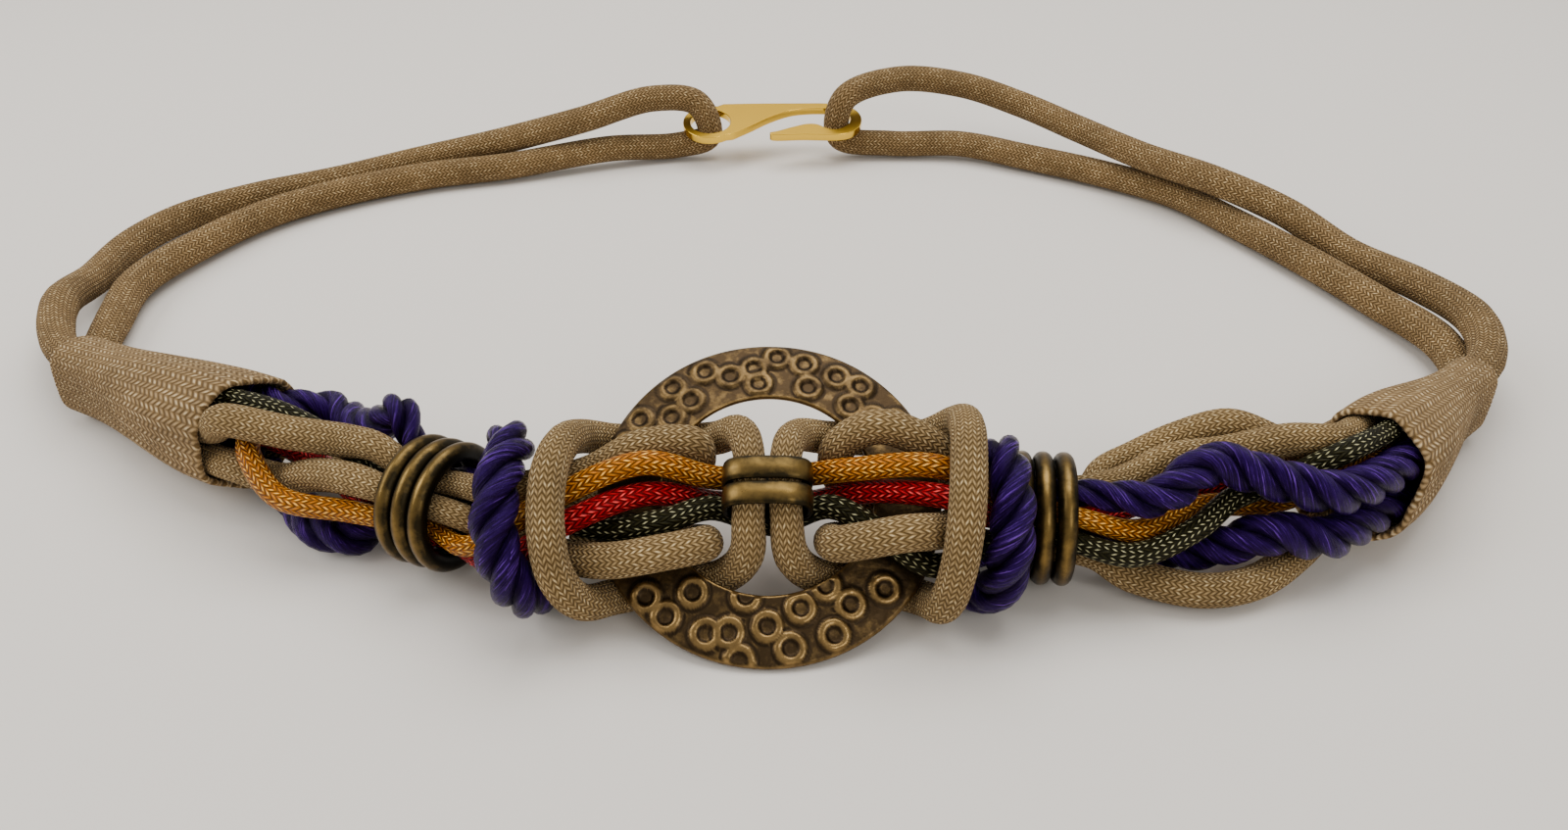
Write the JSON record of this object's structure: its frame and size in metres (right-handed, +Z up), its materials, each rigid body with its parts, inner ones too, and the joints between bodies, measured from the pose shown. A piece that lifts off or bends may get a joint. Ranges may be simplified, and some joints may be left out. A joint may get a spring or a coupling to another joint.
{
  "type": "rope belt",
  "caption": "Rope belt with a domed ring medallion, cord bundles bound by wire rings, cloth sleeves and rope runs that meet at a hook clasp.",
  "frame": {"origin": "middle of the bounding box, at the surface that the belt rests on", "axes": "+X to the belt's right as seen from the front, +Y from the medallion to the hook, +Z up from the surface"},
  "size_m": [0.3282, 0.2318, 0.0322],
  "materials": {
    "antique_brass": "dark antique patina with bright rubbed edges",
    "gold_plate": "gold coloured, satin face and bright edges",
    "sleeve_cloth": "tan twill cloth",
    "orange_braid": "shiny orange braided cord",
    "red_braid": "shiny red braided cord",
    "olive_braid": "dark olive braided cord with pale flecks",
    "tan_braid": "matte tan knitted cord",
    "purple_twist": "shiny purple three-ply rope",
    "rope_braid": "matte tan herringbone rope"
  },
  "bodies": {
    "root": {"medallion": "antique_brass", "upper_band": "antique_brass", "lower_band": "antique_brass", "left_wire_ring_outer": "antique_brass", "left_wire_ring_middle": "antique_brass", "left_wire_ring_inner": "antique_brass", "right_wire_ring_outer": "antique_brass", "right_wire_ring_middle": "antique_brass", "right_wire_ring_inner": "antique_brass", "left_sleeve": "sleeve_cloth", "right_sleeve": "sleeve_cloth", "orange_cord": "orange_braid", "red_cord": "red_braid", "olive_cord": "olive_braid", "left_looped_cord": "tan_braid", "left_short_cord": "tan_braid", "left_binding_loop": "tan_braid", "left_purple_rope": "purple_twist", "left_back_rope": "rope_braid", "right_looped_cord": "tan_braid", "right_short_cord": "tan_braid", "right_binding_loop": "tan_braid", "right_purple_rope": "purple_twist", "right_back_rope": "rope_braid", "hook_clasp": "gold_plate"}
  },
  "joints": []
}
